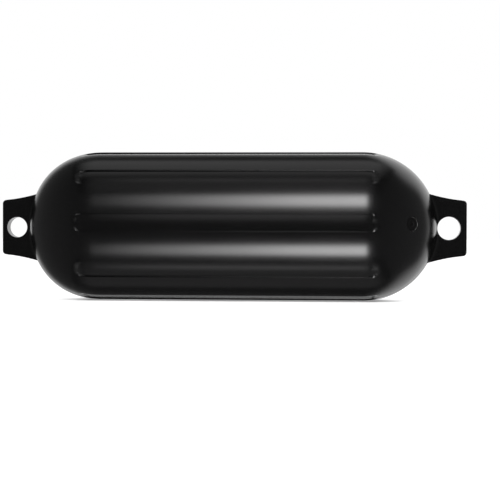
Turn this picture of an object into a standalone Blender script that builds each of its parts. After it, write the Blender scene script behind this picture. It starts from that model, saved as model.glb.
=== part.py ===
"""Inflatable boat fender: a hull moulded in one piece, with flutes along it and a rope eye at each end,
and the rubber valve that plugs into its right shoulder.

Units are metres. The fender lies along X with Z up, and the origin is on its axis, halfway along it.
Angles round the hull are measured from -Y upwards to +Z.
"""

import math

import bmesh
import bpy
from mathutils import Matrix, Vector

# Hull
OVERALL_LENGTH = 0.6860
LAND_RADIUS = 0.1095
LEFT_FULLNESS = 2.20  # exponent of the dome's curve: 2 is a true hemisphere, more is squarer
RIGHT_FULLNESS = 2.00
REST_FLAT_WIDTH = 0.0210
HULL_STEPS = 90
DOME_RINGS = 12

# Flutes, the channels along the hull: a fan on the front half of the mould, and its mirror image on the back
FLUTES_PER_HALF = 5
FLUTE_PITCH = math.radians(38.3)
FLUTE_PHASE = math.radians(2.8)  # how far the middle flute of a fan lies above the level of the axis
FLUTE_DEPTH = 0.0021
FLUTE_HALF_WIDTH = 0.0130
FLUTE_WALL_RUN = 0.0005  # how far a side wall leans out between the floor and the rim
FLUTE_END_CORNER = 0.0080
LEFT_FLUTE_OVERRUN = 0.0310  # how far the flutes run onto the domes
RIGHT_FLUTE_OVERRUN = 0.0240

# Rope eyes, the flat lugs at the ends
EYE_REACH = 0.0425
EYE_THICKNESS = 0.0220
EYE_TIP_HEIGHT = 0.0810
EYE_ROOT_SPREAD = 0.0130  # how much taller the eye is where it meets the dome
EYE_SPREAD_POWER = 1.6
EYE_DROP = 0.0020
EYE_CORNER = 0.0055
EYE_EDGE_ROUND = 0.0025
EYE_FLARE = 0.0060
LEFT_BORE = 0.0300
LEFT_BORE_MARGIN = 0.0068  # material between the bore and the tip of the eye
RIGHT_BORE = 0.0340
RIGHT_BORE_MARGIN = 0.0087

# Valve and its seat in the right dome
VALVE_LATITUDE = math.radians(40.5)
RECESS_RADIUS = 0.0100
RECESS_DEPTH = 0.0026
RECESS_SLOPE = 0.0012
FLANGE_RADIUS = 0.0080
FLANGE_THICKNESS = 0.0018
FLANGE_EDGE = 0.0005
BOSS_RADIUS = 0.0036
BOSS_RISE = 0.0005
STEM_RADIUS = 0.0045
STEM_LENGTH = 0.0120
NEEDLE_RADIUS = 0.0010
NEEDLE_DEPTH = 0.0080
SEAT_GAP = 0.0003
VALVE_STEPS = 32

# Worked out from the sizes above
DOME_DEPTH = LAND_RADIUS
TANGENT = OVERALL_LENGTH / 2 - EYE_REACH - DOME_DEPTH  # where the straight hull ends and a dome begins
EYE_TIP = DOME_DEPTH + EYE_REACH  # measured from the tangent plane
MERGE = 0.00001
FLAT_ANGLE = math.radians(0.5)  # faces closer than this are one flat
PAST = 0.0050  # how far a cutter runs past what it cuts


def collection(name):
    made = bpy.data.collections.new(name)
    bpy.context.scene.collection.children.link(made)
    return made


def material(name, color, roughness):
    made = bpy.data.materials.new(name)
    made.use_nodes = True
    shader = made.node_tree.nodes["Principled BSDF"]
    shader.inputs["Base Color"].default_value = (*color, 1)
    shader.inputs["Roughness"].default_value = roughness
    shader.inputs["Metallic"].default_value = 0
    return made


def place(name, mesh, where):
    made = bpy.data.objects.new(name, mesh)
    where.objects.link(made)
    return made


def as_cutter(made):
    made.hide_render = True
    made.display_type = "WIRE"
    return made


def boolean(target, operation, other):
    step = target.modifiers.new(other.name, "BOOLEAN")
    step.operation = operation
    step.solver = "EXACT"
    step.object = other


def turned(name, profile, steps, where):
    """A solid turned about its own Z from (radius, height) points that run down its outer side."""
    mesh = bpy.data.meshes.new(name)
    edges = [(i, i + 1) for i in range(len(profile) - 1)]
    mesh.from_pydata([(radius, 0, height) for radius, height in profile], edges, [])
    made = place(name, mesh, where)
    screw = made.modifiers.new("turn", "SCREW")
    screw.steps = steps
    screw.render_steps = steps
    screw.use_merge_vertices = True
    screw.merge_threshold = MERGE
    return made


def plate(name, outline, half_thickness, where):
    """A flat mesh plate from a closed outline, made as a filled curve and then welded."""
    curve = bpy.data.curves.new(name, "CURVE")
    curve.dimensions = "2D"
    curve.fill_mode = "BOTH"
    curve.extrude = half_thickness
    spline = curve.splines.new("POLY")
    spline.points.add(len(outline) - 1)
    for point, (across, up) in zip(spline.points, outline):
        point.co = (across, up, 0, 1)
    spline.use_cyclic_u = True
    drawn = place(name + "_outline", curve, where)
    graph = bpy.context.evaluated_depsgraph_get()
    mesh = bpy.data.meshes.new_from_object(drawn.evaluated_get(graph))
    bpy.data.objects.remove(drawn)
    shape = bmesh.new()
    shape.from_mesh(mesh)
    bmesh.ops.remove_doubles(shape, verts=shape.verts, dist=MERGE)
    bmesh.ops.recalc_face_normals(shape, faces=shape.faces)
    bmesh.ops.dissolve_limit(shape, angle_limit=FLAT_ANGLE, verts=shape.verts, edges=shape.edges)
    shape.to_mesh(mesh)
    shape.free()
    return place(name, mesh, where)


def arc(centre, radius, start, end, steps):
    turn = (end - start) / steps
    angles = [start + turn * i for i in range(steps + 1)]
    return [(centre[0] + radius * math.cos(a), centre[1] + radius * math.sin(a)) for a in angles]


def dome_curve(fullness):
    """(radius, depth past the tangent plane) from the pole to the tangent plane."""
    points = []
    for ring in range(DOME_RINGS + 1):
        angle = math.pi / 2 * (1 - ring / DOME_RINGS)
        radius = LAND_RADIUS * max(math.cos(angle), 0) ** (2 / fullness)
        points.append((radius, DOME_DEPTH * math.sin(angle) ** (2 / fullness)))
    points[0] = (0, DOME_DEPTH)
    return points


def dome_radius(depth, fullness):
    return LAND_RADIUS * (1 - (depth / DOME_DEPTH) ** fullness) ** (1 / fullness)


def make_hull(where):
    right = [(radius, TANGENT + depth) for radius, depth in dome_curve(RIGHT_FULLNESS)]
    left = [(radius, -TANGENT - depth) for radius, depth in reversed(dome_curve(LEFT_FULLNESS))]
    hull = turned("fender_body", right + left, HULL_STEPS, where)
    hull.rotation_euler.y = math.pi / 2
    return hull


def make_flute_floor(where):
    """The hull's own shape, smaller by the depth of a flute, so that each floor follows the hull."""
    right = [(radius, TANGENT + depth) for radius, depth in dome_curve(RIGHT_FULLNESS)]
    left = [(radius, -TANGENT - depth) for radius, depth in reversed(dome_curve(LEFT_FULLNESS))]
    profile = [(max(radius - FLUTE_DEPTH, 0), along) for radius, along in right + left]
    floor = turned("flute_floor", profile, HULL_STEPS, where)
    floor.rotation_euler.y = math.pi / 2
    return as_cutter(floor)


def make_flute_cutters(where):
    """Bars with rounded ends, one to each flute, less the shape that the flutes' floors follow."""
    left_rim = dome_radius(LEFT_FLUTE_OVERRUN, LEFT_FULLNESS)
    right_rim = dome_radius(RIGHT_FLUTE_OVERRUN, RIGHT_FULLNESS)
    low = min(left_rim, right_rim) - FLUTE_DEPTH - PAST
    high = LAND_RADIUS + PAST
    lean = FLUTE_WALL_RUN / FLUTE_DEPTH
    places = [place_in_fan - (FLUTES_PER_HALF - 1) / 2 for place_in_fan in range(FLUTES_PER_HALF)]
    front = [FLUTE_PHASE + place_in_fan * FLUTE_PITCH for place_in_fan in places]
    back = [math.pi - angle for angle in front]
    shape = bmesh.new()
    for angle in front + back:
        bar = bmesh.ops.create_cube(shape, size=1)["verts"]
        for corner in bar:
            level = high if corner.co.z > 0 else low
            side = math.copysign(FLUTE_HALF_WIDTH + (level - LAND_RADIUS) * lean, corner.co.y)
            left = -TANGENT - LEFT_FLUTE_OVERRUN - (level - left_rim)
            right = TANGENT + RIGHT_FLUTE_OVERRUN + (level - right_rim)
            corner.co = (right if corner.co.x > 0 else left, side, level)
        edges = {edge for corner in bar for edge in corner.link_edges}
        uprights = [edge for edge in edges if edge.verts[0].co.z != edge.verts[1].co.z]
        rounded = bmesh.ops.bevel(
            shape, geom=uprights, offset=FLUTE_END_CORNER, offset_type="OFFSET", segments=4, profile=0.5,
            affect="EDGES",
        )
        bar = list({corner for face in rounded["faces"] for corner in face.verts})
        bmesh.ops.rotate(shape, verts=bar, matrix=Matrix.Rotation(math.pi / 2 - angle, 3, "X"))
    bmesh.ops.recalc_face_normals(shape, faces=shape.faces)
    mesh = bpy.data.meshes.new("flute_cutters")
    shape.to_mesh(mesh)
    shape.free()
    cutters = as_cutter(place("flute_cutters", mesh, where))
    boolean(cutters, "DIFFERENCE", make_flute_floor(where))
    return cutters


def eye_outline(side):
    """The eye seen from the front, as (x, z) points, from the tip's lower corner round to the root."""
    half_tip = EYE_TIP_HEIGHT / 2
    root = 0.78 * DOME_DEPTH
    steps = 8
    upper = arc((EYE_TIP - EYE_CORNER, half_tip - EYE_CORNER), EYE_CORNER, 0, math.pi / 2, 4)
    for step in range(1, steps + 1):
        along = step / steps
        out = EYE_TIP - EYE_CORNER + (root - EYE_TIP + EYE_CORNER) * along
        share = (EYE_TIP - out) / EYE_REACH
        upper.append((out, half_tip + EYE_ROOT_SPREAD / 2 * share ** EYE_SPREAD_POWER))
    lower = [(out, -up) for out, up in reversed(upper)]
    return [(side * (TANGENT + out), up - EYE_DROP) for out, up in lower + upper]


def make_eye_section(name, side, where):
    """The eye's section seen from above, turned about Y at the dome's centre: flat, then flared to the dome."""
    half = EYE_THICKNESS / 2
    sunk = DOME_DEPTH - 0.0004
    foot = math.sqrt((sunk + EYE_FLARE) ** 2 - (half + EYE_FLARE) ** 2)
    touch = math.atan2(half + EYE_FLARE, foot)
    flare = arc((foot, half + EYE_FLARE), EYE_FLARE, math.pi + touch, 1.5 * math.pi, 5)
    top = [(0, flare[0][1]), *flare, (EYE_TIP + PAST * 4, half)]
    section = turned(name, top + [(radius, -height) for radius, height in reversed(top)], HULL_STEPS, where)
    section.rotation_euler.x = math.pi / 2
    section.location = (side * TANGENT, 0, -EYE_DROP)
    return as_cutter(section)


def make_eye(name, side, where):
    eye = plate(name, eye_outline(side), EYE_THICKNESS / 2 + EYE_FLARE + PAST, where)
    eye.rotation_euler.x = math.pi / 2
    boolean(eye, "INTERSECT", make_eye_section(name + "_section", side, where))
    flats = eye.modifiers.new("flats", "DECIMATE")
    flats.decimate_type = "DISSOLVE"
    flats.angle_limit = FLAT_ANGLE
    rounding = eye.modifiers.new("edges", "BEVEL")
    rounding.width = EYE_EDGE_ROUND
    rounding.segments = 2
    rounding.limit_method = "ANGLE"
    rounding.angle_limit = math.radians(60)
    return as_cutter(eye)


def make_bore(name, side, diameter, margin, where):
    """The rope hole, which runs out through the flare on both faces."""
    shape = bmesh.new()
    depth = EYE_THICKNESS + 2 * (EYE_FLARE + PAST)
    bmesh.ops.create_cone(
        shape, cap_ends=True, segments=48, radius1=diameter / 2, radius2=diameter / 2, depth=depth
    )
    mesh = bpy.data.meshes.new(name)
    shape.to_mesh(mesh)
    shape.free()
    bore = place(name, mesh, where)
    bore.rotation_euler.x = math.pi / 2
    bore.location = (side * (OVERALL_LENGTH / 2 - margin - diameter / 2), 0, -EYE_DROP)
    return as_cutter(bore)


def make_rest_cutter(where):
    """A slab that presses the small flat on which the soft hull rests."""
    shape = bmesh.new()
    bmesh.ops.create_cube(shape, size=1)
    mesh = bpy.data.meshes.new("rest_cutter")
    shape.to_mesh(mesh)
    shape.free()
    top = -math.sqrt(LAND_RADIUS ** 2 - (REST_FLAT_WIDTH / 2) ** 2)
    size = Vector((OVERALL_LENGTH, LAND_RADIUS, PAST))
    mesh.transform(Matrix.Translation((0, 0, top - PAST / 2)) @ Matrix.Diagonal(size).to_4x4())
    return as_cutter(place("rest_cutter", mesh, where))


def valve_frame():
    """Where the valve sits: its origin on the right dome's surface, its Z along the surface normal."""
    bulge = 2 / RIGHT_FULLNESS
    out = DOME_DEPTH * math.sin(VALVE_LATITUDE) ** bulge
    radius = LAND_RADIUS * math.cos(VALVE_LATITUDE) ** bulge
    slope = 2 - bulge
    lean = math.sin(VALVE_LATITUDE) ** slope / DOME_DEPTH
    fall = math.cos(VALVE_LATITUDE) ** slope / LAND_RADIUS
    round_x = Vector((0, -math.cos(FLUTE_PHASE), math.sin(FLUTE_PHASE)))
    point = Vector((TANGENT + out, 0, 0)) + round_x * radius
    normal = (Vector((lean, 0, 0)) + round_x * fall).normalized()
    return Matrix.Translation(point) @ normal.to_track_quat("Z", "Y").to_matrix().to_4x4()


def make_valve_seat(where):
    """The dished recess and the stem's bore below it, both a gap larger than the valve."""
    profile = [
        (0, PAST),
        (RECESS_RADIUS + RECESS_SLOPE, PAST),
        (RECESS_RADIUS + RECESS_SLOPE, 0),
        (RECESS_RADIUS, -RECESS_SLOPE),
        (FLANGE_RADIUS + SEAT_GAP, -RECESS_DEPTH),
        (STEM_RADIUS + SEAT_GAP, -RECESS_DEPTH),
        (STEM_RADIUS + SEAT_GAP, -RECESS_DEPTH - STEM_LENGTH),
        (0, -RECESS_DEPTH - STEM_LENGTH),
    ]
    seat = turned("valve_seat", profile, VALVE_STEPS, where)
    seat.matrix_world = valve_frame()
    return as_cutter(seat)


def make_valve(where):
    """A rubber bung with a thin flange, a raised boss round the needle hole, and a stem."""
    under = -RECESS_DEPTH + SEAT_GAP
    face = under + FLANGE_THICKNESS
    boss = face + BOSS_RISE
    profile = [
        (0, boss - NEEDLE_DEPTH),
        (NEEDLE_RADIUS, boss - NEEDLE_DEPTH),
        (NEEDLE_RADIUS, boss),
        (BOSS_RADIUS - BOSS_RISE, boss),
        (BOSS_RADIUS, face),
        (FLANGE_RADIUS - FLANGE_EDGE, face),
        (FLANGE_RADIUS, face - FLANGE_EDGE),
        (FLANGE_RADIUS, under),
        (STEM_RADIUS, under),
        (STEM_RADIUS, -RECESS_DEPTH - STEM_LENGTH + SEAT_GAP),
        (0, -RECESS_DEPTH - STEM_LENGTH + SEAT_GAP),
    ]
    valve = turned("inflation_valve", profile, VALVE_STEPS, where)
    valve.matrix_world = valve_frame()
    return valve


def main():
    for old in list(bpy.data.objects):
        bpy.data.objects.remove(old)
    parts = collection("pneumatic_fender")
    cutters = collection("cutters")

    hull = make_hull(parts)
    boolean(hull, "DIFFERENCE", make_flute_cutters(cutters))
    boolean(hull, "UNION", make_eye("left_eye", -1, cutters))
    boolean(hull, "UNION", make_eye("right_eye", 1, cutters))
    boolean(hull, "DIFFERENCE", make_bore("left_bore", -1, LEFT_BORE, LEFT_BORE_MARGIN, cutters))
    boolean(hull, "DIFFERENCE", make_bore("right_bore", 1, RIGHT_BORE, RIGHT_BORE_MARGIN, cutters))
    boolean(hull, "DIFFERENCE", make_valve_seat(cutters))
    boolean(hull, "DIFFERENCE", make_rest_cutter(cutters))
    hull.data.materials.append(material("black_vinyl", (0.012, 0.012, 0.013), 0.3))

    valve = make_valve(parts)
    valve.data.materials.append(material("black_rubber", (0.008, 0.008, 0.008), 0.6))


main()
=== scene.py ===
# %% [markdown]
# # An inflatable boat fender
#
# This lesson dresses a black vinyl fender for a studio picture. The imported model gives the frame: its
# solids are simple, and the pieces made here stand for them with finer shapes and real finishes.
# The fender lies along X, Z is up, and the origin is on its axis, halfway along.

# %% Load the frame
import math

import bmesh
import bpy
from mathutils import Matrix, Vector


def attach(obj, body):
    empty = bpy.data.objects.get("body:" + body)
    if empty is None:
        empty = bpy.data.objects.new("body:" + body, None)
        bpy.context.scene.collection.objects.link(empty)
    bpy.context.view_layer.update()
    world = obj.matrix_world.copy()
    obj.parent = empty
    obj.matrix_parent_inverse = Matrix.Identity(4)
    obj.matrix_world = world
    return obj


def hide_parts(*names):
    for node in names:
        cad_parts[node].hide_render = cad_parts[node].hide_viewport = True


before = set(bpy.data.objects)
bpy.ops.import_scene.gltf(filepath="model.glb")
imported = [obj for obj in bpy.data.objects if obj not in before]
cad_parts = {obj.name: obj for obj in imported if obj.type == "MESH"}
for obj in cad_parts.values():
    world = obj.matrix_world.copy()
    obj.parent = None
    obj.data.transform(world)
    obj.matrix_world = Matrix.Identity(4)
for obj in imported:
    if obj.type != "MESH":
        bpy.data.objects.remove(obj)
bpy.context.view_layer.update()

print("nodes:", sorted(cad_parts))

# %% [markdown]
# ## Sizes
#
# A fender is blown up from a moulded vinyl bag, so one set of sizes rules the whole shape: a straight
# hull between two domes, five flutes on the front half and their mirror image on the back, and a flat
# rope eye at each end. The sizes are written once, in metres, and the rest is worked out from them.

# %% Name the hull's sizes
LENGTH = 0.6860  # from eye tip to eye tip
LAND_RADIUS = 0.1095  # from the axis to the lands, the strips between the flutes
EYE_REACH = 0.0425  # how far an eye stands out from its dome
LEFT_FULLNESS = 2.20  # 2 makes a dome a half sphere, and more makes it fuller
RIGHT_FULLNESS = 2.00
TANGENT = LENGTH / 2 - EYE_REACH - LAND_RADIUS  # where the straight hull meets a dome
REST_HALF_WIDTH = 0.0105  # half the width of the flat that the soft hull rests on
REST_LEVEL = -math.sqrt(LAND_RADIUS ** 2 - REST_HALF_WIDTH ** 2)
print("straight hull from", round(-TANGENT, 4), "to", round(TANGENT, 4))

# %% Name the flutes' sizes
FLUTES_PER_HALF = 5
FLUTE_PITCH = math.radians(38.3)
FLUTE_PHASE = math.radians(2.8)  # how far the middle flute in front lies above the axis
FLUTE_DEPTH = 0.0021
FLUTE_HALF_WIDTH = 0.0130
SIDE_RUN = 0.0004  # how far a side wall leans out on its way up
END_RUN = 0.0085  # how far an end wall leans out
END_CORNER = 0.0095  # the corners' radius, never smaller than END_RUN
LEFT_OVERRUN = 0.0310  # how far the flutes run onto the domes
RIGHT_OVERRUN = 0.0240
print(FLUTES_PER_HALF * 2, "flutes,", round(FLUTE_HALF_WIDTH * 2000, 1), "mm wide")

# %% [markdown]
# ## A short way to write node trees
#
# Node trees are easier to read as sums than as boxes and wires. `Tree` wraps one tree: each call adds a
# node, gives it its inputs and hands back the output socket, so a formula in a node tree looks like a
# formula. The materials, the hull and the studio are all written this way.


# %% Helper for node trees
class Tree:
    def __init__(self, tree):
        self.tree = tree

    def node(self, kind, inputs=(), out=0, **settings):
        """A new node's output. Its inputs come by place or by name, as sockets or as values."""
        made = self.tree.nodes.new(kind)
        for key, value in settings.items():
            setattr(made, key, value)
        pairs = inputs.items() if isinstance(inputs, dict) else enumerate(inputs)
        for key, value in pairs:
            self.feed(made.inputs[key], value)
        return made.outputs[out]

    def feed(self, socket, value):
        if isinstance(value, bpy.types.NodeSocket):
            self.tree.links.new(value, socket)
        else:
            socket.default_value = value

    def math(self, operation, *values):
        return self.node("ShaderNodeMath", values, operation=operation)

    def mix(self, factor, first, second, kind="FLOAT"):
        given = {"Factor": factor, "A": first, "B": second}
        return self.node("ShaderNodeMix", given, "Result", data_type=kind)

    def switch(self, choice, off, on):
        given = {"Switch": choice, "False": off, "True": on}
        return self.node("GeometryNodeSwitch", given, input_type="FLOAT")

    def between(self, value, start, end, low=0.0, high=1.0, kind="LINEAR"):
        """Goes from low to high while the value goes from start to end."""
        given = {"Value": value, "From Min": start, "From Max": end, "To Min": low, "To Max": high}
        return self.node("ShaderNodeMapRange", given, interpolation_type=kind)

    def split(self, vector):
        """The outputs X, Y and Z of a vector."""
        return self.node("ShaderNodeSeparateXYZ", (vector,)).node.outputs

    def join(self, x, y, z):
        return self.node("ShaderNodeCombineXYZ", (x, y, z))

    def length(self, x, y):
        """How long the step (x, y) is."""
        return self.node("ShaderNodeVectorMath", (self.join(x, y, 0.0),), "Value", operation="LENGTH")


# %% [markdown]
# ## Black vinyl and black rubber
#
# Moulded vinyl is nearly black inside and shines at its skin. Up close the skin has a fine grain from the
# mould, it is duller in faint patches where hands and shelves have rubbed it, and the wall is never quite
# even. The valve's rubber is the same idea with a coarser grain and less shine. A photo wrapped round the
# hull would smear at the domes, so all of it is noise on Object coordinates: one noise bends the
# roughness, and a fine and a broad one make the bump.


# %% Materials
def grainy_black(name, color, worn_color, roughness, shine, grain_scale, grain, waviness):
    """A black skin with a grain of this height, broad waves of this height, and worn patches."""
    made = bpy.data.materials.new(name)
    made.use_nodes = True
    shader = made.node_tree.nodes["Principled BSDF"]
    shader.inputs["Specular IOR Level"].default_value = shine
    tree = Tree(made.node_tree)
    where = tree.node("ShaderNodeTexCoord", out="Object")

    def noise(scale, detail, roughness=0.5):
        given = {"Vector": where, "Scale": scale, "Detail": detail, "Roughness": roughness}
        return tree.node("ShaderNodeTexNoise", given)

    patches = noise(9.0, 5.0, 0.6)
    fine = noise(grain_scale, 3.0)
    specks = noise(grain_scale / 3, 6.0, 0.7)
    swell = noise(14.0, 1.0)

    worn = tree.math("MULTIPLY", tree.between(patches, 0.45, 0.75), tree.between(specks, 0.55, 0.8))
    tree.feed(shader.inputs["Base Color"], tree.mix(worn, (*color, 1), (*worn_color, 1), "RGBA"))
    broad_roughness = tree.between(patches, 0.3, 0.7, *roughness)
    tree.feed(shader.inputs["Roughness"], tree.math("MULTIPLY_ADD", fine, 0.04, broad_roughness))

    waves = {"Strength": 1.0, "Distance": waviness, "Height": swell}
    grains = {"Strength": 1.0, "Distance": grain, "Height": fine}
    grains["Normal"] = tree.node("ShaderNodeBump", waves)
    tree.feed(shader.inputs["Normal"], tree.node("ShaderNodeBump", grains))
    return made


vinyl = grainy_black(
    "black_vinyl", (0.0018, 0.0018, 0.0019), (0.004, 0.004, 0.004), roughness=(0.18, 0.21), shine=0.5,
    grain_scale=900.0, grain=0.000004, waviness=0.00004,
)
rubber = grainy_black(
    "black_rubber", (0.003, 0.003, 0.003), (0.009, 0.009, 0.009), roughness=(0.25, 0.36), shine=0.15,
    grain_scale=1400.0, grain=0.00004, waviness=0.0,
)
print("materials:", vinyl.name, rubber.name)

# %% [markdown]
# ## The hull
#
# The real hull is one blown bag. It could be turned on a lathe profile and the flutes cut out of it one
# by one, but it follows a rule: the distance from the axis depends only on how far along a point is and
# on how far round. That is work for Geometry Nodes. A flat grid is rolled into a tube: one way along the
# grid becomes the angle, and the other the travel from the left pole over the dome, the straight hull
# and the right dome.
#
# A plain grid would waste its points on the smooth lands, so Float Curves space the rows and columns:
# close together at the rims and at the flute ends, wide apart elsewhere. The curves' points come first.

# %% Space the rows and the columns
# Distances from a flute's middle, each with the number of steps from there to the next one.
COLUMN_STOPS = [(0.0, 3), (0.0068, 8), (0.0116, 13), (0.0142, 3), (0.0170, 4)]
BEFORE_END = 0.0100  # the close rows begin this far before a flute's end
PAST_END = 0.0025  # and go on this far past it


def spacing(stops):
    """Points (share of the grid, place) from (place, number of steps to the next place) stops."""
    total = sum(count for _, count in stops[:-1])
    points = []
    used = 0
    for where, count in stops:
        points.append((used / total, where))
        used += count
    return points, total


def land_to_land(width):
    """Points and steps across a cell of the hull, from one flute's middle to the next one's."""
    near = [(where / width, count) for where, count in COLUMN_STOPS]
    far = [(1 - near[i][0], near[i - 1][1]) for i in reversed(range(1, len(near)))]
    return spacing([*near, (0.5, near[-1][1]), *far, (1.0, 0)])


def bend(overrun):
    """How far round the dome, as a share of a quarter turn, a point at this overrun is."""
    return math.asin(min(overrun / LAND_RADIUS, 1)) / (math.pi / 2)


seam_angle = math.pi - (FLUTES_PER_HALF - 1) * FLUTE_PITCH
inner_points, cell_columns = land_to_land(FLUTE_PITCH * LAND_RADIUS)
top_points, _ = land_to_land((seam_angle - 2 * FLUTE_PHASE) * LAND_RADIUS)
bottom_points, _ = land_to_land((seam_angle + 2 * FLUTE_PHASE) * LAND_RADIUS)
columns = cell_columns * FLUTES_PER_HALF * 2

# Travel is -2 at the left pole, -1 and 1 at the ends of the straight hull, and 2 at the right pole.
row_points, rows = spacing([
    (-2.0, 16),
    (-1 - bend(LEFT_OVERRUN + PAST_END), 34),
    (-1 - bend(LEFT_OVERRUN - BEFORE_END), 8),
    (-1.0, 16),
    (1.0, 6),
    (1 + bend(RIGHT_OVERRUN - BEFORE_END), 34),
    (1 + bend(RIGHT_OVERRUN + PAST_END), 22),
    (2.0, 0),
])
print(columns, "columns and", rows, "rows")

# %% [markdown]
# ### Round the hull and along it
#
# The way round is counted in cells, from the middle of one flute to the middle of the next. Four cells
# in each half of the mould are one pitch wide, and the fifth runs over the seam to the other half, whose
# flutes are a mirror image. The front flutes are turned upwards a little, so the seam's cell is narrow
# on top and wide underneath. The way along gives the plain hull: a superellipse over each dome.


# %% Nodes for the angle
def float_curve(tree, value, points, low, high):
    """A Float Curve with straight pieces through the points, stretched from 0..1 to low..high."""
    made = tree.tree.nodes.new("ShaderNodeFloatCurve")
    curve = made.mapping.curves[0]
    for share, where in points[1:-1]:
        curve.points.new(share, (where - low) / (high - low))
    curve.points[0].location = (0, 0)
    curve.points[-1].location = (1, 1)
    for point in curve.points:
        point.handle_type = "VECTOR"
    made.mapping.update()
    tree.feed(made.inputs["Value"], value)
    return tree.math("MULTIPLY_ADD", made.outputs[0], high - low, low)


def angle_round(tree, given, round_share):
    """The angle round the hull, and how far round the point is from the nearest flute's middle."""
    m = tree.math
    flutes, pitch = given["Flutes per half"], given["Pitch"]
    cells = m("MULTIPLY", round_share, m("MULTIPLY", flutes, 2.0))
    cell = m("FLOOR", m("ADD", cells, 0.000001))
    share = m("SUBTRACT", cells, cell)
    half = m("FLOOR", m("DIVIDE", m("ADD", cell, 0.5), flutes))
    step = m("SUBTRACT", cell, m("MULTIPLY", half, flutes))
    steps = m("SUBTRACT", flutes, 1.0)
    at_seam = m("GREATER_THAN", step, m("SUBTRACT", steps, 0.5))
    lift = m("MULTIPLY", given["Phase"], m("MULTIPLY_ADD", half, -2.0, 1.0))

    fan_width = m("MULTIPLY_ADD", steps, pitch, m("MULTIPLY", lift, 2.0))
    width = tree.switch(at_seam, pitch, m("SUBTRACT", math.pi, fan_width))
    inner, top, bottom = (
        float_curve(tree, share, points, 0.0, 1.0) for points in (inner_points, top_points, bottom_points)
    )
    in_cell = m("MULTIPLY", tree.switch(at_seam, inner, tree.switch(half, top, bottom)), width)
    off_centre = m("MINIMUM", in_cell, m("SUBTRACT", width, in_cell))
    in_fan = m("MULTIPLY", m("SUBTRACT", step, m("DIVIDE", steps, 2.0)), pitch)
    angle = m("ADD", m("ADD", m("MULTIPLY_ADD", half, math.pi, in_fan), in_cell), lift)
    return angle, off_centre


# %% Nodes for the plain hull
def plain_hull(tree, given, along_share):
    """How far along the point is, the plain hull's radius there, and whether it is the right half."""
    m = tree.math
    travel = float_curve(tree, along_share, row_points, -2.0, 2.0)
    on_right = m("GREATER_THAN", travel, 0.0)
    distance = m("ABSOLUTE", travel)
    over_dome = m("MINIMUM", m("MAXIMUM", m("SUBTRACT", distance, 1.0), 0.0), 1.0)
    turn = m("MULTIPLY", over_dome, math.pi / 2)
    power = m("DIVIDE", 2.0, tree.switch(on_right, given["Left fullness"], given["Right fullness"]))

    def superellipse(wave):
        return m("MULTIPLY", m("POWER", m("MAXIMUM", m(wave, turn), 0.0), power), given["Radius"])

    straight = m("MULTIPLY", m("MINIMUM", distance, 1.0), given["Half length"])
    along = m("MULTIPLY", m("ADD", straight, superellipse("SINE")), m("SIGN", travel))
    return along, superellipse("COSINE"), on_right


# %% [markdown]
# ### The flutes
#
# Each flute is a second, lower surface: a floor that follows the hull, steep walls along its sides, and
# ends that run out gently into the domes. The height of a wall comes from the distance to a rectangle
# with rounded corners. Taking the smooth minimum of the hull and the flute presses the flutes in, and
# rounds their rims as moulding does.


# %% Nodes for the flutes
def with_flutes(tree, given, along, hull_radius, on_right, off_centre):
    """The hull's radius, with the flutes pressed in."""
    m = tree.math
    overrun = tree.switch(on_right, given["Left overrun"], given["Right overrun"])
    to_end = m("SUBTRACT", m("SUBTRACT", m("ABSOLUTE", along), given["Half length"]), overrun)
    to_side = m("SUBTRACT", m("MULTIPLY", off_centre, given["Radius"]), given["Half width"])
    past_side = m("MAXIMUM", m("ADD", to_side, given["End corner"]), 0.0)
    past_end = m("MAXIMUM", m("ADD", to_end, given["End corner"]), 0.0)
    distance = m("SUBTRACT", tree.length(past_side, past_end), given["End corner"])

    # 0 where the nearest wall is a side wall, 1 where it is an end wall, and between them in a corner.
    corner_turn = m("ARCTAN2", past_end, m("ADD", past_side, 0.000001))
    endwards = m("SQRT", m("DIVIDE", corner_turn, math.pi / 2))
    slope = m("DIVIDE", given["Depth"], tree.mix(endwards, given["Side run"], given["End run"]))
    floor_softness = tree.mix(endwards, given["Floor softness"], given["End softness"])
    rim_softness = tree.mix(endwards, given["Rim softness"], given["End softness"])
    wall = m("ADD", m("MULTIPLY", distance, slope), given["Depth"])
    floor = m("SUBTRACT", hull_radius, given["Depth"])
    flute = m("ADD", floor, m("SMOOTH_MAX", wall, 0.0, floor_softness))
    return m("SMOOTH_MIN", hull_radius, flute, rim_softness)


# %% [markdown]
# ### Roll the grid up
#
# The angle and the radius place each point. A very faint swelling keeps the wall from looking machined.
# The bottom is flattened where the soft hull rests, the seam and the poles are closed, and the tree ends
# with the vinyl on it.


# %% Nodes that place the points
def rolled_up(tree, given, grid, along, radius, angle):
    m = tree.math
    across = m("MULTIPLY", m("MULTIPLY", m("COSINE", angle), radius), -1.0)
    up = m("MULTIPLY", m("SINE", angle), radius)
    swell = {"Vector": tree.join(along, across, up), "Scale": 11.0, "Detail": 1.0}
    uneven = m("SUBTRACT", tree.node("ShaderNodeTexNoise", swell), 0.5)
    uneven = m("ABSOLUTE", m("MULTIPLY", uneven, given["Unevenness"]))
    swollen = m("SUBTRACT", 1.0, m("DIVIDE", uneven, given["Radius"]))
    level = m("MAXIMUM", m("MULTIPLY", up, swollen), given["Rest level"])
    settled = tree.join(along, m("MULTIPLY", across, swollen), level)
    return tree.node("GeometryNodeSetPosition", {"Geometry": grid, "Position": settled})


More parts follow.
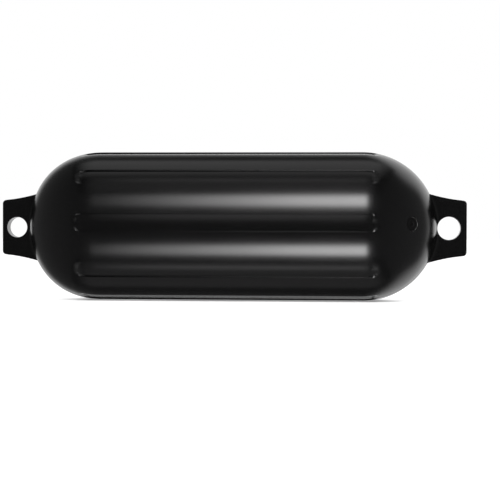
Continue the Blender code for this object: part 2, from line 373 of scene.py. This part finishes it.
HULL_SIZES = {
    "Radius": LAND_RADIUS,
    "Half length": TANGENT,
    "Left fullness": LEFT_FULLNESS,
    "Right fullness": RIGHT_FULLNESS,
    "Flutes per half": FLUTES_PER_HALF,
    "Pitch": FLUTE_PITCH,
    "Phase": FLUTE_PHASE,
    "Depth": FLUTE_DEPTH,
    "Half width": FLUTE_HALF_WIDTH,
    "Side run": SIDE_RUN,
    "End run": END_RUN,
    "Left overrun": LEFT_OVERRUN,
    "Right overrun": RIGHT_OVERRUN,
    "End corner": END_CORNER,
    "Rim softness": 0.0001,
    "End softness": 0.0012,
    "Floor softness": 0.0003,
    "Rest level": REST_LEVEL,
    "Unevenness": 0.00004,
}


def hull_tree():
    group = bpy.data.node_groups.new("fluted_hull", "GeometryNodeTree")
    tree = Tree(group)
    sockets = group.interface
    sockets.new_socket("Geometry", in_out="OUTPUT", socket_type="NodeSocketGeometry")
    for name in HULL_SIZES:
        sockets.new_socket(name, in_out="INPUT", socket_type="NodeSocketFloat")
    sockets.new_socket("Skin", in_out="INPUT", socket_type="NodeSocketMaterial")
    given = group.nodes.new("NodeGroupInput").outputs

    counts = {"Size X": 1, "Size Y": 1, "Vertices X": columns + 1, "Vertices Y": rows + 1}
    grid = tree.node("GeometryNodeMeshGrid", counts, "Mesh")
    spot = tree.split(tree.node("GeometryNodeInputPosition"))
    angle, off_centre = angle_round(tree, given, tree.math("ADD", spot["X"], 0.5))
    along, plain_radius, on_right = plain_hull(tree, given, tree.math("ADD", spot["Y"], 0.5))
    radius = with_flutes(tree, given, along, plain_radius, on_right, off_centre)

    shape = rolled_up(tree, given, grid, along, radius, angle)
    shape = tree.node("GeometryNodeMergeByDistance", {"Geometry": shape, "Distance": 0.000005})
    shape = tree.node("GeometryNodeSetShadeSmooth", {"Geometry": shape, "Shade Smooth": True})
    shape = tree.node("GeometryNodeRealizeInstances", {"Geometry": shape})
    shape = tree.node("GeometryNodeSetMaterial", {"Geometry": shape, "Material": given["Skin"]})
    tree.feed(group.nodes.new("NodeGroupOutput").inputs[0], shape)
    return group


hull_rule = hull_tree()
print("hull rule:", len(hull_rule.nodes), "nodes and", len(HULL_SIZES), "sizes")


# %% [markdown]
# ### Make the hull
#
# The modifier is given its sizes by each socket's identifier. Then the result becomes a plain mesh with
# its place baked in, which is how every piece here ends, so that patterns on Object coordinates hold
# still. The last helper turns the faces outwards and reports whether the shape is closed.

# %% Make the hull
def place(name, data):
    made = bpy.data.objects.new(name, data)
    bpy.context.scene.collection.objects.link(made)
    return made


def baked(made, name):
    """The object with its modifiers and its place applied, as a new plain mesh object."""
    bpy.context.view_layer.update()
    graph = bpy.context.evaluated_depsgraph_get()
    mesh = bpy.data.meshes.new_from_object(made.evaluated_get(graph))
    mesh.transform(made.matrix_world)
    bpy.data.objects.remove(made)
    mesh.name = name
    return place(name, mesh)


def upright(mesh):
    """Turns the faces outwards, and says how closed the shape is."""
    shape = bmesh.new()
    shape.from_mesh(mesh)
    bmesh.ops.recalc_face_normals(shape, faces=shape.faces)
    if shape.calc_volume(signed=True) < 0:
        bmesh.ops.reverse_faces(shape, faces=shape.faces)
    open_edges = sum(1 for edge in shape.edges if len(edge.link_faces) != 2)
    millilitres = round(shape.calc_volume(signed=True) * 1e6, 1)
    shape.to_mesh(mesh)
    shape.free()
    print(mesh.name, len(mesh.polygons), "faces,", open_edges, "open edges,", millilitres, "ml")


hull = place("hull_rule", bpy.data.meshes.new("hull_rule"))
rule = hull.modifiers.new("hull", "NODES")
rule.node_group = hull_rule
inputs = [item for item in hull_rule.interface.items_tree if item.in_out == "INPUT"]
identifiers = {item.name: item.identifier for item in inputs}
for name, value in HULL_SIZES.items():
    rule[identifiers[name]] = float(value)
rule[identifiers["Skin"]] = vinyl
hull = baked(hull, "fluted_hull")
upright(hull.data)

# %% [markdown]
# ## The rope eyes
#
# Each end of the moulding is drawn out into a flat lug with a hole for the rope. It is a plate that flares
# into the dome on every side. Beveling the joint between plate and dome would give only a small fillet.
# The way to get the whole flare is to keep what two simple solids share: the outline seen from the
# front, made thick, and the section seen from above, turned about the dome's centre.

# %% Name the eyes' sizes
EYE_THICKNESS = 0.0220
EYE_TIP_HEIGHT = 0.0810
EYE_ROOT_SPREAD = 0.0130  # how much taller the eye is at its root
EYE_SPREAD_POWER = 1.6  # 1 would spread it in a straight line
EYE_DROP = 0.0020  # how far the eyes lie below the axis
EYE_CORNER = 0.0055
EYE_FLARE = 0.0060  # the radius of the flare into the dome, seen from above
EYE_ROUNDING = 0.0013  # on every edge
EYE_TIP = LAND_RADIUS + EYE_REACH  # measured from the dome's centre
EYE_ROOT = 0.80 * LAND_RADIUS  # the plate starts this deep, inside the dome
PAST = 0.02  # how far a cutter reaches past what it cuts
print("eyes:", EYE_TIP_HEIGHT, "high and", EYE_THICKNESS, "thick")


# %% [markdown]
# Two kinds of solid are needed. A *plate* is a filled 2D curve with a thickness, good for anything cut
# from a flat outline. A *turned* solid is a profile swept round an axis by the Screw modifier.

# %% Helpers for plates and turned solids
def arc(centre, radius, start, end, steps):
    turn = (end - start) / steps
    angles = [start + turn * i for i in range(steps + 1)]
    return [(centre[0] + radius * math.cos(a), centre[1] + radius * math.sin(a)) for a in angles]


def turned(name, profile, steps):
    """A solid turned about its own Z from (radius, height) points that run down its outer side."""
    mesh = bpy.data.meshes.new(name)
    edges = [(i, i + 1) for i in range(len(profile) - 1)]
    mesh.from_pydata([(radius, 0, height) for radius, height in profile], edges, [])
    made = place(name, mesh)
    screw = made.modifiers.new("turn", "SCREW")
    screw.steps = steps
    screw.render_steps = steps
    screw.use_merge_vertices = True
    screw.merge_threshold = 0.00001
    return made


def filled_plate(name, outline, half_thickness):
    """A flat plate from a closed outline of (x, y) points, welded into one closed mesh."""
    curve = bpy.data.curves.new(name, "CURVE")
    curve.dimensions = "2D"
    curve.fill_mode = "BOTH"
    curve.extrude = half_thickness
    spline = curve.splines.new("POLY")
    spline.points.add(len(outline) - 1)
    for point, (across, up) in zip(spline.points, outline):
        point.co = (across, up, 0, 1)
    spline.use_cyclic_u = True
    drawn = place(name + "_outline", curve)
    graph = bpy.context.evaluated_depsgraph_get()
    mesh = bpy.data.meshes.new_from_object(drawn.evaluated_get(graph))
    bpy.data.objects.remove(drawn)

    shape = bmesh.new()
    shape.from_mesh(mesh)
    bmesh.ops.remove_doubles(shape, verts=shape.verts, dist=0.00001)
    bmesh.ops.recalc_face_normals(shape, faces=shape.faces)
    bmesh.ops.dissolve_limit(shape, angle_limit=math.radians(0.5), verts=shape.verts, edges=shape.edges)
    shape.to_mesh(mesh)
    shape.free()
    return place(name, mesh)


def cut(target, operation, other):
    step = target.modifiers.new(other.name, "BOOLEAN")
    step.operation = operation
    step.solver = "EXACT"
    step.object = other


# %% The three solids of an eye
def eye_outline(side):
    """The eye seen from the front, as (x, z) points."""
    half_tip = EYE_TIP_HEIGHT / 2
    upper = arc((EYE_TIP - EYE_CORNER, half_tip - EYE_CORNER), EYE_CORNER, 0, math.pi / 2, 10)
    steps = 24
    for step in range(1, steps + 1):
        out = EYE_TIP - EYE_CORNER + (EYE_ROOT - EYE_TIP + EYE_CORNER) * step / steps
        share = (EYE_TIP - out) / EYE_REACH
        upper.append((out, half_tip + EYE_ROOT_SPREAD / 2 * share ** EYE_SPREAD_POWER))
    lower = [(out, -up) for out, up in reversed(upper)]
    return [(side * (TANGENT + out), up - EYE_DROP) for out, up in lower + upper]


def eye_section(name, side):
    """The eye seen from above, turned about the dome's centre, with its flare into the dome."""
    half = EYE_THICKNESS / 2
    sunk = LAND_RADIUS - 0.0001
    foot = math.sqrt((sunk + EYE_FLARE) ** 2 - (half + EYE_FLARE) ** 2)
    touch = math.atan2(half + EYE_FLARE, foot)
    flare = arc((foot, half + EYE_FLARE), EYE_FLARE, math.pi + touch, 1.5 * math.pi, 14)
    top = [(0, flare[0][1]), *flare, (EYE_TIP + PAST, half)]
    section = turned(name + "_section", top + [(r, -h) for r, h in reversed(top)], 180)
    section.rotation_euler.x = math.pi / 2
    section.location = (side * TANGENT, 0, -EYE_DROP)
    return section


def eye_bore(name, side, bore, margin):
    """A drill for the rope hole, with this margin of vinyl between the hole and the eye's tip."""
    shape = bmesh.new()
    radius = bore / 2
    bmesh.ops.create_cone(shape, cap_ends=True, segments=96, radius1=radius, radius2=radius, depth=0.09)
    mesh = bpy.data.meshes.new(name + "_bore")
    shape.to_mesh(mesh)
    shape.free()
    hole = place(name + "_bore", mesh)
    hole.rotation_euler.x = math.pi / 2
    hole.location = (side * (LENGTH / 2 - margin - bore / 2), 0, -EYE_DROP)
    return hole


# %% [markdown]
# The hole is drilled last, and then one Bevel rounds every edge at once. Its normals are hardened, so
# the eye's flat faces stay flat to the eye.

# %% Make the rope eyes
def rope_eye(name, side, bore, margin):
    eye = filled_plate(name, eye_outline(side), EYE_THICKNESS / 2 + PAST)
    eye.rotation_euler.x = math.pi / 2
    section = eye_section(name, side)
    cut(eye, "INTERSECT", section)
    hole = eye_bore(name, side, bore, margin)
    cut(eye, "DIFFERENCE", hole)

    flats = eye.modifiers.new("flats", "DECIMATE")
    flats.decimate_type = "DISSOLVE"
    flats.angle_limit = math.radians(0.2)
    rounding = eye.modifiers.new("edges", "BEVEL")
    rounding.width = EYE_ROUNDING
    rounding.segments = 5
    rounding.limit_method = "ANGLE"
    rounding.angle_limit = math.radians(50)
    rounding.harden_normals = True
    eye.data.shade_smooth()

    made = baked(eye, name)
    for helper in (section, hole):
        bpy.data.objects.remove(helper)
    made.data.materials.clear()
    made.data.materials.append(vinyl)
    print(name, len(made.data.polygons), "faces")
    return made


left_eye = rope_eye("left_rope_eye", -1, 0.0300, 0.0068)
right_eye = rope_eye("right_rope_eye", 1, 0.0340, 0.0087)

# %% [markdown]
# ## The inflation valve
#
# The hull is pumped up through a soft rubber bung in its right shoulder, in line with the middle flute.
# It has a thin flange, a small boss round the needle hole, and a stem that grips inside. It is round, so
# it is turned from a profile, and it sits flush in a seat that is cut into the hull on the same axis.

# %% Cut the valve's seat
VALVE_LATITUDE = math.radians(40.5)
SEAT_RADIUS = 0.0100
SEAT_DEPTH = 0.0026
STEM_SEAT_RADIUS = 0.0048
STEM_SEAT_DEPTH = 0.0146
SEAT_CLEARANCE = 0.0040  # how far the cutter stands out of the hull


def valve_frame():
    """The valve's place on the right dome, with its own Z pointing out of the hull."""
    outwards = Vector((0, -math.cos(FLUTE_PHASE), math.sin(FLUTE_PHASE)))
    normal = Vector((math.sin(VALVE_LATITUDE), 0, 0)) + outwards * math.cos(VALVE_LATITUDE)
    point = Vector((TANGENT, 0, 0)) + normal * LAND_RADIUS
    return Matrix.Translation(point) @ normal.to_track_quat("Z", "Y").to_matrix().to_4x4()


seat_profile = [
    (0, SEAT_CLEARANCE), (SEAT_RADIUS, SEAT_CLEARANCE), (SEAT_RADIUS, -SEAT_DEPTH),
    (STEM_SEAT_RADIUS, -SEAT_DEPTH), (STEM_SEAT_RADIUS, -STEM_SEAT_DEPTH), (0, -STEM_SEAT_DEPTH),
]
seat = turned("valve_seat", seat_profile, 64)
seat.matrix_world = valve_frame()
cut(hull, "DIFFERENCE", seat)
hull = baked(hull, "hull")
bpy.data.objects.remove(seat)
upright(hull.data)
hull.data.shade_smooth()
hull.data.set_sharp_from_angle(angle=math.radians(38))

# %% Make the valve
needle_hole = [(0, -0.0075), (0.0009, -0.0070), (0.0010, -0.0004)]
boss = [(0.0013, 0.0001), (0.0019, 0.0003), (0.0026, 0.0002), (0.0032, -0.0002), (0.0036, -0.0005)]
flange = [
    (0.0046, -0.0006), (0.0056, -0.0004), (0.0064, -0.0003), (0.0078, -0.0004), (0.0088, -0.00048),
    (0.0098, -0.00056), (0.0098, -0.0023),
]
stem = [(0.0045, -0.0023), (0.0045, -0.0143), (0, -0.0143)]

valve = turned("valve_turned", needle_hole + boss + flange + stem, 64)
valve.matrix_world = valve_frame()
valve = baked(valve, "valve_bung")
valve.data.materials.clear()
valve.data.materials.append(rubber)
valve.data.shade_smooth()
valve.data.set_sharp_from_angle(angle=math.radians(40))
upright(valve.data)

# %% [markdown]
# ## Putting the pieces on the frame
#
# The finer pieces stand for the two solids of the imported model. Nothing on a fender moves, so all of
# them ride on its one body.

# %% Hand the pieces to the frame
for piece, node, slot in (
    (hull, "fender_body", "vinyl"),
    (left_eye, "fender_body", "vinyl"),
    (right_eye, "fender_body", "vinyl"),
    (valve, "inflation_valve", "rubber"),
):
    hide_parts(node)
    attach(piece, "root")
print("pieces:", hull.name, left_eye.name, right_eye.name, valve.name)

# %% [markdown]
# ## The studio
#
# A glossy black thing is drawn by what it reflects. Two narrow soft boxes in front, one above and one
# below, put the two bright bands on the lands, and fade towards the left. Wide dim cards over and under
# the fender lift the other flutes, and thin ones add a faint line of light to their walls. The world is
# dark in front and white behind, which gives the domes their pale rims and shines through the rope holes.
#
# The pale floor is kept out of the reflections, because it would wash out the lower half. It glows by
# itself, and its glow dies away under the hull into a painted contact shadow.

# %% Lay the floor
FLOOR_GLOW = 1.05
# Painted contact shadow: the floor's glow drops to this under the hull.
PAINTED_SHADOW_GLOW = 0.12
PAINTED_SHADOW_START, PAINTED_SHADOW_END = 0.005, 0.085  # metres from the line that the fender rests on
FLOOR_REACH = 12.0


def quad(name, corners, skin):
    mesh = bpy.data.meshes.new(name)
    mesh.from_pydata(corners, [], [(0, 1, 2, 3)])
    mesh.materials.append(skin)
    made = place(name, mesh)
    return made


def floor_skin():
    made = bpy.data.materials.new("pale_floor_with_painted_shadow")
    made.use_nodes = True
    shader = made.node_tree.nodes["Principled BSDF"]
    shader.inputs["Base Color"].default_value = (0.9, 0.9, 0.9, 1)
    shader.inputs["Roughness"].default_value = 0.9
    shader.inputs["Emission Color"].default_value = (0.9, 0.9, 0.9, 1)
    tree = Tree(made.node_tree)
    spot = tree.split(tree.node("ShaderNodeTexCoord", out="Object"))
    past_hull = tree.math("SUBTRACT", tree.math("ABSOLUTE", spot["X"]), TANGENT)
    away = tree.length(tree.math("MAXIMUM", past_hull, 0.0), spot["Y"])
    # Painted contact shadow: the floor's glow is dimmed near the line that the hull rests on.
    glow = tree.between(away, PAINTED_SHADOW_START, PAINTED_SHADOW_END, PAINTED_SHADOW_GLOW, FLOOR_GLOW, "SMOOTHSTEP")
    tree.feed(shader.inputs["Emission Strength"], glow)
    return made


ways = ((-1, -1), (1, -1), (1, 1), (-1, 1))
floor_corners = [(x * FLOOR_REACH, y * FLOOR_REACH, REST_LEVEL) for x, y in ways]
floor = quad("floor", floor_corners, floor_skin())
floor.visible_glossy = False
floor.visible_shadow = False
print("floor at", round(REST_LEVEL, 5))

# %% [markdown]
# The world's light depends only on its direction. A value that grows towards the back decides between
# dark and white. It grows faster towards the right, and most of all up and down to the right, where the
# photo's dome has its widest pale rim. The camera itself sees plain white.

# %% Light the world
world = bpy.data.worlds.new("studio")
bpy.context.scene.world = world
world.use_nodes = True
background = world.node_tree.nodes["Background"]
background.inputs["Color"].default_value = (1, 1, 1, 1)

sky = Tree(world.node_tree)
towards = sky.split(sky.node("ShaderNodeTexCoord", out="Generated"))
to_right = sky.math("MAXIMUM", towards["X"], 0.0)
to_left = sky.math("MAXIMUM", sky.math("MULTIPLY", towards["X"], -1.0), 0.0)
up_or_down = sky.between(sky.math("ABSOLUTE", towards["Z"]), 0.35, 0.95, 0.37, 0.97, "SMOOTHSTEP")
sideways_share = sky.math("MULTIPLY_ADD", to_left, 0.15, sky.math("MULTIPLY", to_right, up_or_down))
behind = sky.math("ADD", towards["Y"], sideways_share)
wall = sky.between(behind, 0.72, 0.95, 0.03, 1.1, "SMOOTHSTEP")
wall = sky.math("MULTIPLY", wall, sky.math("MULTIPLY_ADD", to_left, -0.45, 1.0))
wall = sky.math("ADD", wall, sky.math("MULTIPLY", sky.math("ABSOLUTE", towards["X"]), 0.16))
seen_by_camera = sky.node("ShaderNodeLightPath", out="Is Camera Ray")
sky.feed(background.inputs["Strength"], sky.mix(seen_by_camera, wall, 1.0))
print("world:", len(world.node_tree.nodes), "nodes")


# %% [markdown]
# A card is a glowing sheet that the camera doesn't see. Area lamps would do the same, but a card's glow
# can fade along its length and die away at its edges, and the soft edges are what the vinyl shows. The
# cards run along the fender, and their places are given as elevations round its axis.

# %% Helpers for the cards
def card_skin(name, strength, fade, soft):
    """A glow that follows the fade from left to right, and dies away over the soft shares at the edges.

    The fade is a list of (place across, share of the strength). The soft shares of the card's size are
    those at its left, right, lower and upper edges."""
    skin = bpy.data.materials.new(name)
    skin.use_nodes = True
    skin.node_tree.nodes.clear()
    tree = Tree(skin.node_tree)
    spot = tree.split(tree.node("ShaderNodeTexCoord", out="UV"))
    across, up = spot["X"], spot["Y"]
    ramp = skin.node_tree.nodes.new("ShaderNodeValToRGB")
    tree.feed(ramp.inputs["Fac"], across)
    stops = ramp.color_ramp.elements
    while len(stops) < len(fade):
        stops.new(0.5)
    for stop, (at, share) in zip(stops, fade):
        stop.position = at
        stop.color = (share, share, share, 1)

    glow = tree.math("MULTIPLY", ramp.outputs["Color"], strength)
    from_edges = (across, tree.math("SUBTRACT", 1.0, across), up, tree.math("SUBTRACT", 1.0, up))
    for from_edge, width in zip(from_edges, soft):
        glow = tree.math("MULTIPLY", glow, tree.between(from_edge, 0.0, width, kind="SMOOTHSTEP"))
    light = tree.node("ShaderNodeEmission", {"Strength": glow})
    tree.feed(skin.node_tree.nodes.new("ShaderNodeOutputMaterial").inputs["Surface"], light)
    return skin


def seen_at(elevation, distance):
    """(y, z) of a spot at this elevation: 0 is the camera's side, 90 overhead, 180 behind."""
    lift = math.radians(elevation)
    return -math.cos(lift) * distance, math.sin(lift) * distance


def long_card(name, left, right, low, high, distance, strength, fade, soft):
    """A card that runs along the fender from left to right, between two elevations."""
    lower, upper = seen_at(low, distance), seen_at(high, distance)
    corners = [(left, *lower), (right, *lower), (right, *upper), (left, *upper)]
    card = quad(name, corners, card_skin(name, strength, fade, soft))
    layer = card.data.uv_layers.new(name="card")
    for loop, place_on_card in zip(layer.data, [(0, 0), (1, 0), (1, 1), (0, 1)]):
        loop.uv = place_on_card
    card.visible_camera = False


# %% Hang the cards
UPPER_FADE = [(0.0, 0.05), (0.15, 0.15), (0.33, 0.37), (0.51, 0.69), (0.66, 0.94), (0.8, 1.0)]
LOWER_FADE = [(0.0, 0.10), (0.15, 0.27), (0.33, 0.44), (0.51, 0.71), (0.66, 0.94), (0.8, 1.0)]
SLIGHT_FADE = [(0, 0.7), (0.3, 0.95), (1, 1)]
NO_FADE = [(0, 1), (1, 1)]

# Name, left, right, low, high, distance, strength, fade and soft edges.
CARDS = (
    ("upper_box", -0.36, 0.36, 26, 50, 1.25, 13.2, UPPER_FADE, (0.02, 0.05, 0.3, 0.3)),
    ("lower_box", -0.36, 0.36, -45.5, -24.5, 1.25, 13.0, LOWER_FADE, (0.02, 0.05, 0.3, 0.3)),
    ("front_fill", -0.42, 0.40, 6, 18.5, 1.2, 0.9, SLIGHT_FADE, (0.2, 0.2, 0.8, 0.02)),
    ("under_strip", -0.42, 0.40, -68.5, -61.5, 1.02, 1.7, SLIGHT_FADE, (0.2, 0.2, 0.6, 0.1)),
    ("ceiling", -0.85, 0.85, 79, 120, 1.3, 0.57, NO_FADE, (0.25, 0.25, 0.3, 0.08)),
    ("upper_fill", -0.75, 0.75, 52, 79.5, 1.3, 0.27, NO_FADE, (0.3, 0.3, 0.15, 0.02)),
    ("roof_strip", -0.42, 0.40, 72, 75, 1.1, 1.5, SLIGHT_FADE, (0.2, 0.2, 0.3, 0.3)),
    ("low_fill", -0.85, 0.85, -110, -50, 1.3, 0.24, NO_FADE, (0.25, 0.25, 0.2, 0.2)),
)
for card in CARDS:
    long_card(*card)
print("cards:", ", ".join(card[0] for card in CARDS))

# %% [markdown]
# ## The camera
#
# The picture was taken level with the fender's axis and a little to its right, from more than two metres
# away. A long lens keeps the hull's edges parallel. The camera's three axes are worked out from how far
# it turns to the left, dips and leans, and written straight into its matrix.

# %% Camera
YAW = math.radians(4.340)
DIP = math.radians(0.819)
ROLL = math.radians(-0.162)

camera_data = bpy.data.cameras.new("camera")
camera_data.sensor_width = 36
camera_data.lens = 115.21
camera = place("camera", camera_data)
bpy.context.scene.camera = camera

forward = Vector((-math.sin(YAW) * math.cos(DIP), math.cos(YAW) * math.cos(DIP), -math.sin(DIP)))
level = Vector((math.cos(YAW), math.sin(YAW), 0))
upward = level.cross(forward)
right = level * math.cos(ROLL) - upward * math.sin(ROLL)
up = level * math.sin(ROLL) + upward * math.cos(ROLL)
spot = Vector((0.2046, -2.36, -0.001))
camera.matrix_world = Matrix((
    (right.x, up.x, -forward.x, spot.x),
    (right.y, up.y, -forward.y, spot.y),
    (right.z, up.z, -forward.z, spot.z),
    (0, 0, 0, 1),
))
bpy.context.scene.view_settings.view_transform = "Standard"
print("camera", round(spot.length, 2), "m from the fender's middle")

# %% Finish
bpy.context.view_layer.update()
